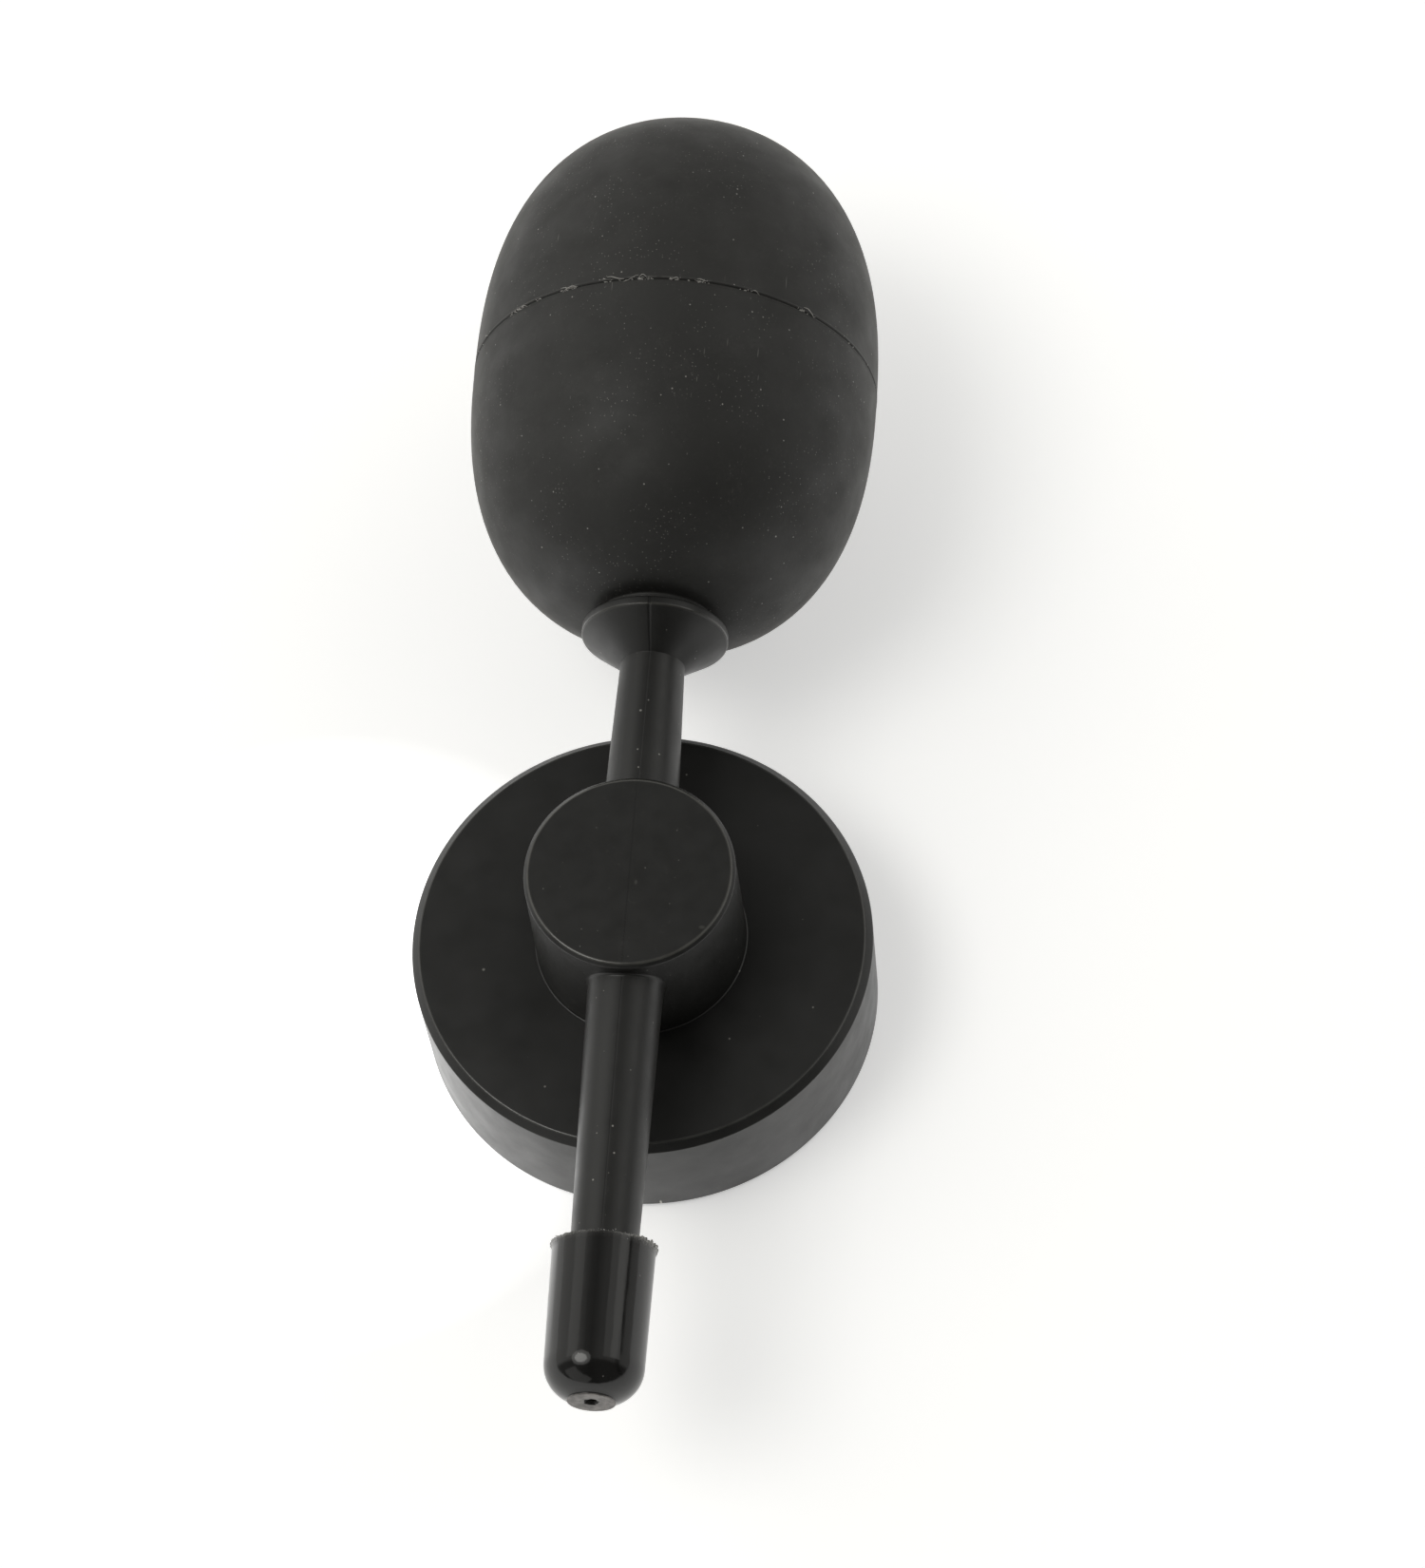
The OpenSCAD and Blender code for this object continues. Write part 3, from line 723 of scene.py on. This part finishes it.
# Where flash clings to the mould line: degrees from the top (negative to the left), spread in degrees,
# number of flakes and number of strands.
FLASH = (
    (-88, 1.2, 5, 0), (-68, 4.0, 7, 1), (-46, 3.0, 24, 2), (-37, 3.0, 7, 0), (-26, 3.2, 18, 3),
    (-15, 2.5, 8, 1), (-5, 4.2, 26, 2), (4, 2.0, 9, 1), (11, 2.2, 14, 1), (24, 4.0, 7, 1),
    (43, 3.0, 7, 1), (62, 4.0, 4, 0), (86, 1.2, 4, 0), (150, 14, 10, 1), (-150, 14, 10, 1))
# Spans to draw from, in millimetres: a flake's offset, length, height and thickness,
FLAKE_SPANS = ((-0.16, 0.26), (0.10, 0.36), (0.07, 0.18), (0.04, 0.07))
# and a strand's offset, length and thickness.
STRAND_SPANS = ((-0.05, 0.30), (0.8, 2.1), (0.045, 0.075))


def ragged_ring(count):
    """Uneven values from 0 to 1 round the mould line, large where flash clings to it."""
    raw = rng.random(count)
    for _ in range(2):
        raw = (np.roll(raw, 1) + raw * 2 + np.roll(raw, -1)) / 4
    raw = (raw - raw.min()) / (raw.max() - raw.min())
    angle = np.degrees(2 * math.pi * np.arange(count) / count)
    angle = (angle + 180) % 360 - 180
    clings = np.full(count, 0.12)
    for centre, spread, flakes, _ in FLASH:
        clings += flakes / 22 * hump(angle, centre, spread + 1.5)
    return raw * np.clip(clings, 0, 1)


def on_seam(angle, offset, lift):
    """The point lift millimetres off the skin, at offset millimetres behind the mould line."""
    r = SKIN_R + lift
    return Vector((r * math.sin(angle), BULB_Y + offset, AXIS_Z + r * math.cos(angle)))


def flake(angle, offset, length, height, thick):
    """A torn sliver of flash: a low wedge standing on the skin. Returns its points and faces."""
    outward = Vector((math.sin(angle), 0, math.cos(angle)))
    along = Vector((math.cos(angle), draw(-0.6, 0.6), -math.sin(angle))).normalized()
    place = on_seam(angle, offset, -0.06)
    side = outward.cross(along).normalized()
    foot = [place - along * length / 2, place + along * length / 2]
    lean = side * draw(-0.7, 0.7) * height
    crest = [place - along * length * draw(0.1, 0.4) + outward * height + lean,
             place + along * length * draw(0.1, 0.4) + outward * height * 0.7 + lean]
    verts = []
    for end in (*foot, *crest):
        verts += [end - side * thick / 2, end + side * thick / 2]
    faces = [(0, 1, 3, 2), (0, 2, 6, 4), (1, 5, 7, 3), (4, 6, 7, 5), (0, 4, 5, 1), (2, 3, 7, 6)]
    return verts, faces


def strand(angle, offset, length, thick):
    """A torn thread of flash that lies along the skin and curls a little. Returns its points and faces."""
    steps = 9
    bend, phase = draw(0.05, 0.22), draw(0, 6.28)
    slope = draw(-0.35, 0.35)
    verts, faces = [], []
    for k in range(steps):
        t = k / (steps - 1)
        turn = angle + (t - 0.5) * length / BULB_R
        shift = offset + slope * (t - 0.5) * length + bend * math.sin(phase + 4.5 * t)
        size = thick * (0.35 + 0.65 * math.sin(math.pi * (0.08 + 0.84 * t)))
        lift = 0.03 + 0.09 * math.sin(math.pi * t)
        for across, up in ((-1, -1), (1, -1), (1, 1), (-1, 1)):
            verts.append(on_seam(turn, shift + across * size / 2, lift + up * size / 2))
        if k:
            a, b = 4 * (k - 1), 4 * k
            faces += [(a + i, a + (i + 1) % 4, b + (i + 1) % 4, b + i) for i in range(4)]
    faces += [(3, 2, 1, 0), tuple(4 * (steps - 1) + i for i in range(4))]
    return verts, faces


def make_flash():
    """All the flash on the mould line, as (points, faces)."""
    made = []
    for centre, spread, flakes, strands in FLASH:
        for _ in range(flakes):
            angle = math.radians(float(rng.normal(centre, spread * 0.6)))
            sizes = [draw(*span) for span in FLAKE_SPANS]
            made.append(flake(angle, *sizes))
        for _ in range(strands):
            angle = math.radians(float(rng.normal(centre, spread * 0.5)))
            sizes = [draw(*span) for span in STRAND_SPANS]
            made.append(strand(angle, *sizes))
    return made


def skin_points(loop, angles, ragged):
    """The skin's points, one row for each point of the loop, and how dusty the mould line's lips are."""
    verts, dust = [], []
    for r, y in loop:
        offset = y - BULB_Y
        on_line = abs(offset) < SEAM_REACH - 0.01 and r > BULB_R - 1
        for angle, share in zip(angles, ragged):
            relief = seam_relief(offset, share) if on_line else 0.0
            out = r + relief
            verts.append(Vector((out * math.sin(angle), y, AXIS_Z + out * math.cos(angle))))
            dust.append(max(0.0, relief - 0.07) * 5.0)
    return verts, dust


def half_skin(side, loop, ragged, flash):
    """One half of the bulb, closed on the middle plane, with its flash, as points, faces and dust."""
    segments = len(ragged)
    columns = np.arange(segments // 2 + 1)
    turns = columns if side > 0 else (segments // 2 + columns) % segments
    verts, dust = skin_points(loop, 2 * math.pi * turns / segments, ragged[turns])
    width, rows = len(turns), range(len(loop))
    faces = []
    for i in rows:
        a, b = i * width, (i + 1) % len(loop) * width
        faces += [(a + k, b + k, b + k + 1, a + k + 1) for k in range(width - 1)]
    for column in (0, width - 1):
        faces.append([i * width + column for i in rows])
        for i in rows:
            verts[i * width + column].x = 0.0
    for more, more_faces in flash:
        if min(v.x * side for v in more) < 0.05:
            continue
        faces += [tuple(len(verts) + i for i in f) for f in more_faces]
        verts += more
        dust += [1.0] * len(more)
    return [tuple(v) for v in verts], faces, dust


def make_bulb():
    """The bulb as two half skins that meet on the middle plane."""
    loop = np.concatenate(bulb_outlines())
    ragged = ragged_ring(640)
    flash = make_flash()
    halves = []
    for side, body in ((-1, "left_side"), (1, "right_side")):
        verts, faces, dust = half_skin(side, loop, ragged, flash)
        half = add_mesh("bulb_skin_" + body.split("_")[0], verts, faces, 50)
        give_attribute(half, "dusting", np.clip(dust, 0, 1))
        give_attribute(half, "rest_place", np.array(verts) * MM, "FLOAT_VECTOR")
        half.data.materials.append(RUBBER)
        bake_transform(half)
        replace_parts(half, *(("bulb", "bulb_left_side") if side < 0 else ("bulb_right_side",)))
        halves.append(half)
    return halves


# Where crumbs cling to the tip's mouth: degrees from the top (negative to the left), spread and number.
CRUMBS = ((74, 11, 30), (52, 8, 10), (96, 6, 8), (-74, 12, 13), (-20, 30, 9), (20, 16, 7))


def mouth_crumbs():
    """Torn crumbs of vinyl on the tip's cut mouth, mostly at its right. Returns their points and faces."""
    verts, faces = [], []
    for centre, spread, count in CRUMBS:
        for _ in range(count):
            angle = math.radians(float(rng.normal(centre, spread)))
            size = draw(0.05, 0.16)
            flare = 0.18 * hump(math.degrees(angle), 76, 20)
            r = TIP_MOUTH_R + draw(-0.30, 0.12) + flare
            y = TIP_MOUTH_Y + draw(-0.16, 0.02)
            middle = Vector((r * math.sin(angle), y, AXIS_Z + r * math.cos(angle)))
            first = len(verts)
            for _ in range(4):
                outward = Vector(rng.normal(0, 1, 3)).normalized()
                verts.append(middle + outward * size * draw(0.6, 1.2))
            faces += [tuple(first + i for i in f) for f in ((0, 1, 2), (0, 3, 1), (0, 2, 3), (1, 3, 2))]
    return verts, faces


def join_mesh(obj, extra):
    """Adds loose closed shells to an object's mesh."""
    verts, faces = extra
    more = add_mesh("extra", [tuple(v) for v in verts], faces, 20)
    bm = bmesh.new()
    bm.from_mesh(obj.data)
    bm.from_mesh(more.data)
    bm.to_mesh(obj.data)
    bm.free()
    bpy.data.objects.remove(more)


def make_tip():
    """The tip: a sleeve with a torn mouth, a superellipse dome, and a flat nib round its outlet."""
    dome_y = TIP_END_Y + TIP_DOME - TIP_DOME_CUT
    outline = [(TIP_BORE_R, TIP_MOUTH_Y)]
    outline += rounded([
        (TIP_BORE_R + 0.3, TIP_MOUTH_Y, 0), (TIP_MOUTH_R, TIP_MOUTH_Y, 0.16), (TIP_SHOULDER_R, dome_y, 0)])
    outline.insert(2, (TIP_MOUTH_R - 0.30, TIP_MOUTH_Y))
    outline.insert(-1, (TIP_MOUTH_R - 0.01, TIP_MOUTH_Y - 0.45))
    outline.insert(-1, (TIP_MOUTH_R - 0.02, TIP_MOUTH_Y - 0.9))
    for i in range(1, 33):
        t = math.pi / 2 * i / 32
        r = TIP_SHOULDER_R * math.cos(t) ** (2 / TIP_DOME_POWER)
        if r > NIB_R + 0.24:
            outline.append((r, dome_y - TIP_DOME * math.sin(t) ** (2 / TIP_DOME_POWER)))
    outline += rounded([
        (NIB_R + 0.10, TIP_END_Y + 0.20, 0.05), (NIB_R, TIP_END_Y, 0.07),
        (1.5, TIP_END_Y + 0.02, 0.3), (OUTLET_R + 0.22, TIP_END_Y + 0.07, 0.10),
        (OUTLET_R, TIP_END_Y + 0.45, 0.10), (OUTLET_R, TIP_END_Y + 1.6, 0)])
    outline.append((TIP_BORE_R, TIP_END_Y + 3.8))
    segments = 384
    cut, torn = rng.random(segments), rng.random(segments)
    cut = ((cut + np.roll(cut, 1) + np.roll(cut, 2)) / 3) ** 2
    torn = (torn + np.roll(torn, 1) + np.roll(torn, 2)) / 3
    turn = 2 * math.pi * np.arange(segments) / segments
    burr = 0.26 * hump(turn, 1.35, 0.42) + 0.16 * hump(turn, 4.85, 0.5)
    fringe = 0.75 * hump(turn, 1.25, 0.40) + 0.30 * hump(turn, 5.0, 0.35)

    def rough(i, angle):
        """The mouth is cut unevenly, with a torn fringe at its sides, and the outlet isn't quite round."""
        r, h = outline[i]
        k = round(angle / (2 * math.pi) * segments) % segments
        if h > TIP_MOUTH_Y - 0.3:
            outer = min(1, max(0, r - TIP_BORE_R - 0.5))
            h -= 0.22 * cut[k] * (0.3 + 0.7 * outer)
            if r > TIP_MOUTH_R - 0.25:
                h += fringe[k] * torn[k] ** 1.5
            r += outer * burr[k] * (0.35 + 1.3 * torn[k]) * min(1, (h - TIP_MOUTH_Y + 0.45) / 0.3)
        elif h < TIP_END_Y + 1 and r < OUTLET_R + 0.5:
            r *= (1 + 0.07 * math.sin(2 * angle + 0.6) + 0.06 * math.sin(5 * angle)
                  + 0.04 * math.sin(9 * angle + 2))
        return r, h

    tip = lathe("nozzle_tip_vinyl", outline, "y", segments, 40, rough)
    count = len(tip.data.vertices)
    join_mesh(tip, mouth_crumbs())
    place = np.array([v.co for v in tip.data.vertices]) / MM
    radius = np.hypot(place[:, 0], place[:, 2] - AXIS_Z)
    angle = np.arctan2(place[:, 0], place[:, 2] - AXIS_Z) % (2 * math.pi)
    share = 0.10 + 0.85 * hump(angle, 1.3, 0.6) + 0.4 * hump(angle, 5.2, 0.7)
    mouth = np.clip((place[:, 1] - (TIP_MOUTH_Y - 0.5)) / 0.3, 0, 1) * np.clip(share, 0, 1)
    face = np.clip((TIP_END_Y + 0.12 - place[:, 1]) / 0.06, 0, 1) * (radius > OUTLET_R + 0.05)
    mouth[count:] = 1.0
    give_attribute(tip, "dusting", mouth)
    give_attribute(tip, "nib_face", face)
    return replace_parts(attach(tip, "tip"), "nozzle_tip")


def make_valve_body():
    """The valve's body: a spool that clips into the bulb's wall, with a hole into the disc's chamber."""
    back, face = VALVE_LOW[1], VALVE_HIGH[1]
    flange_y, hole_y, clip_y = face - VALVE_FLANGE_T, face - VALVE_HOLE_L, face - VALVE_BACK_L
    outline = rounded([
        (VALVE_HOLE_R, face, 0.3), (VALVE_HOLE_R, hole_y, 0),
        (VALVE_CHAMBER_R, hole_y, 0), (VALVE_CHAMBER_R, back, 0.1),
        (VALVE_FLANGE_R, back, 0.3), (VALVE_FLANGE_R, clip_y, 0), (VALVE_BARREL_R, clip_y, 0),
        (VALVE_BARREL_R, flange_y, 0), (VALVE_FLANGE_R, flange_y, 0), (VALVE_FLANGE_R, face, 0.3)])
    valve = lathe("valve_body_moulding", outline, "y", 128)
    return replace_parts(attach(valve, "blower"), "valve_body")


# ---------------------------------------------------------------- stage

def make_camera():
    """The camera, at the azimuth, elevation and roll of a person standing over the bench."""
    azimuth, elevation, roll = math.radians(11.08), math.radians(62.0), math.radians(-8.18)
    distance = 520.7
    target = Vector((6.41, 19.05, 15.0))
    back = Vector((math.sin(azimuth) * math.cos(elevation), -math.cos(azimuth) * math.cos(elevation),
                   math.sin(elevation)))
    right = Vector((0, 0, 1)).cross(back).normalized()
    up = back.cross(right)
    across = right * math.cos(roll) + up * math.sin(roll)
    upward = up * math.cos(roll) - right * math.sin(roll)
    data = bpy.data.cameras.new("camera")
    data.sensor_width = 36
    data.lens = 109
    data.clip_start, data.clip_end = 0.02, 20
    camera = add_object("camera", data)
    turn = Matrix((across, upward, back)).transposed().to_4x4()
    camera.matrix_world = Matrix.Translation((target + back * distance) * MM) @ turn
    bpy.context.scene.camera = camera


LAMP_TINT = (1.0, 0.992, 0.955)
# The surroundings' brightness from left to right: position from 0 at -X to 1 at +X, and value.
WALL_STOPS = (
    (0.0, 0.80), (0.18, 0.66), (0.36, 0.22), (0.46, 0.15), (0.54, 0.24), (0.62, 0.36), (0.89, 0.40),
    (0.918, 0.10), (0.936, 0.10), (0.95, 0.5), (1.0, 0.55))
BACKDROP = (0.95, 0.95, 0.95)
FLOOR_REACH = 4.0
# The floor's own glow: near the object and far off, and the extra just left of the base.
NEAR_GLOW, FAR_GLOW, SIDE_GLOW = 0.44, 0.62, 0.95
GLOW_SPAN = (0.4, 1.8)                      # metres from the base where the glow starts and stops growing
SIDE_GLOW_CENTRE = (-0.036, -0.006, 0)
SIDE_GLOW_SPAN = (0.038, 0.012)             # metres from its centre where it starts and is full


def area_light(name, place, toward, size, radiance, shape="RECTANGLE"):
    """A soft light of size (width, length) in metres, facing toward. Its length lies as near Y as it can."""
    data = bpy.data.lights.new(name, "AREA")
    data.shape = shape
    data.size = size[0]
    if shape == "RECTANGLE":
        data.size_y = size[1]
        area = size[0] * size[1]
    else:
        area = math.pi * (size[0] / 2) ** 2
    data.energy = radiance * math.pi * area
    data.color = LAMP_TINT
    light = add_object(name, data)
    back = (Vector(place) - Vector(toward)).normalized()
    long_way = (Vector((0, 1, 0)) - back * back.y).normalized()
    turn = Matrix((long_way.cross(back), long_way, back)).transposed().to_4x4()
    light.matrix_world = Matrix.Translation(place) @ turn


def studio_world():
    """Soft surroundings: paler walls at the sides, a dim ceiling, a dark front and a white backdrop."""
    world = bpy.data.worlds.new("studio")
    world.use_nodes = True
    w = Nodes(world.node_tree)
    toward = w.node("ShaderNodeTexCoord").outputs["Generated"]
    parts = w.node("ShaderNodeSeparateXYZ", {"Vector": toward}).outputs
    ramp = w.node("ShaderNodeValToRGB", {"Fac": w.spread(parts["X"], -1.0, 1.0)})
    while len(ramp.color_ramp.elements) < len(WALL_STOPS):
        ramp.color_ramp.elements.new(0.5)
    for element, (position, value) in zip(ramp.color_ramp.elements, WALL_STOPS):
        element.position = position
        element.color = (*(value * tint for tint in LAMP_TINT), 1)
    front = w.spread(parts["Y"], -0.26, -0.12, 0.22, 1.0)
    walls = w.node("ShaderNodeVectorMath", {0: ramp.outputs["Color"], "Scale": front}, operation="SCALE")
    seen = w.node("ShaderNodeLightPath").outputs["Is Camera Ray"]
    color = w.mix(seen, walls.outputs["Vector"], BACKDROP)
    w.tree.links.new(color, w.tree.nodes["Background"].inputs["Color"])
    bpy.context.scene.world = world


def make_floor():
    """A pale bench that glows a little."""
    mesh = bpy.data.meshes.new("floor")
    r = FLOOR_REACH
    mesh.from_pydata([(-r, -r, 0), (r, -r, 0), (r, r, 0), (-r, r, 0)], [], [(0, 1, 2, 3)])
    floor = add_object("floor", mesh)
    s = Shader("floor", (0.93, 0.93, 0.925), 0.65, Emission_Color=(1, 1, 1, 1))
    place = s.place()
    s.roughness(s.spread(s.noise(place, 40, 3), 0.3, 0.7, 0.6, 0.7))
    away = s.node("ShaderNodeVectorMath", {0: place}, operation="LENGTH").outputs["Value"]
    gap = s.node("ShaderNodeVectorMath", {0: place, 1: SIDE_GLOW_CENTRE}, operation="DISTANCE")
    beside_base = s.spread(gap.outputs["Value"], *SIDE_GLOW_SPAN, 0.0, SIDE_GLOW)
    glow = s.math("ADD", s.spread(away, *GLOW_SPAN, NEAR_GLOW, FAR_GLOW), beside_base)
    s.tree.links.new(glow, s.shader.inputs["Emission Strength"])
    mesh.materials.append(s.material)


def make_lights():
    """Two long strips beside the arms, a round key lamp, and cards behind and before the object."""
    middle = Vector((0, 0.015, 0.025))

    def strip(name, tilt, reach, width, radiance):
        """A long light beside the object, parallel to its arms, tilted from overhead towards +X."""
        lean = math.radians(tilt)
        place = Vector((math.sin(lean) * reach, 0.92, math.cos(lean) * reach)) + middle
        area_light(name, place, Vector((0, place.y, middle.z)), (width, 2.0), radiance)

    strip("left_strip", -47, 1.1, 0.50, 0.37)
    strip("right_strip", 43, 1.1, 0.76, 0.34)
    strip("right_core", 52, 1.08, 0.40, 0.43)
    toward_key = Vector((-0.42, -0.20, 0.885))
    area_light("key_lamp", toward_key * 1.20 + middle, middle, (0.92,), 1.1, "DISK")
    area_light("key_core", toward_key * 1.18 + middle, middle, (0.56,), 2.9, "DISK")
    area_light("rear_panel", Vector((-0.25, 0.87, 0.46)) * 1.3 + middle, middle, (1.1, 0.6), 0.75)
    area_light("front_card", Vector((-0.46, -0.85, 0.26)) * 1.2 + middle, middle, (0.60, 1.10), 0.48)


RUBBER = rubber_skin()
PLASTIC = moulded_plastic()
COATING = coated_metal()
VINYL = glossy_vinyl()
PAD_RUBBER = plain("pad_rubber", (0.024, 0.024, 0.024), 0.8, 0.3, 0.01)
STEEL = plain("zinc_steel", (0.52, 0.53, 0.55), 0.32, 0.15, 0.002, Metallic=1.0)
BRASS = plain("brass", (0.66, 0.46, 0.20), 0.3, 0.15, 0.002, Metallic=1.0)
VALVE_PLASTIC = plain("valve_plastic", (0.018, 0.018, 0.018), 0.4, 0.25, 0.004)
SILICONE = plain("disc_silicone", (0.42, 0.07, 0.03), 0.45, 0.3, 0.003)

for piece, material, slot in (
        (make_base(), COATING, "base_metal"), (make_pad(), PAD_RUBBER, "pad_rubber"),
        (make_stem(), PLASTIC, "stem_plastic"), (make_tip(), VINYL, "tip_vinyl"),
        (make_valve_body(), VALVE_PLASTIC, "valve_plastic")):
    piece.data.materials.clear()
    piece.data.materials.append(material)
for piece in make_bulb():
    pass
for node, material in (("base_screw", STEEL), ("lock_washer", STEEL), ("threaded_insert", BRASS),
                       ("valve_disc", SILICONE), ("valve_retainer", VALVE_PLASTIC)):
    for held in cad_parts[node].material_slots:
        held.material = material

bpy.context.scene.view_settings.view_transform = "Standard"
make_floor()
studio_world()
make_lights()
make_camera()
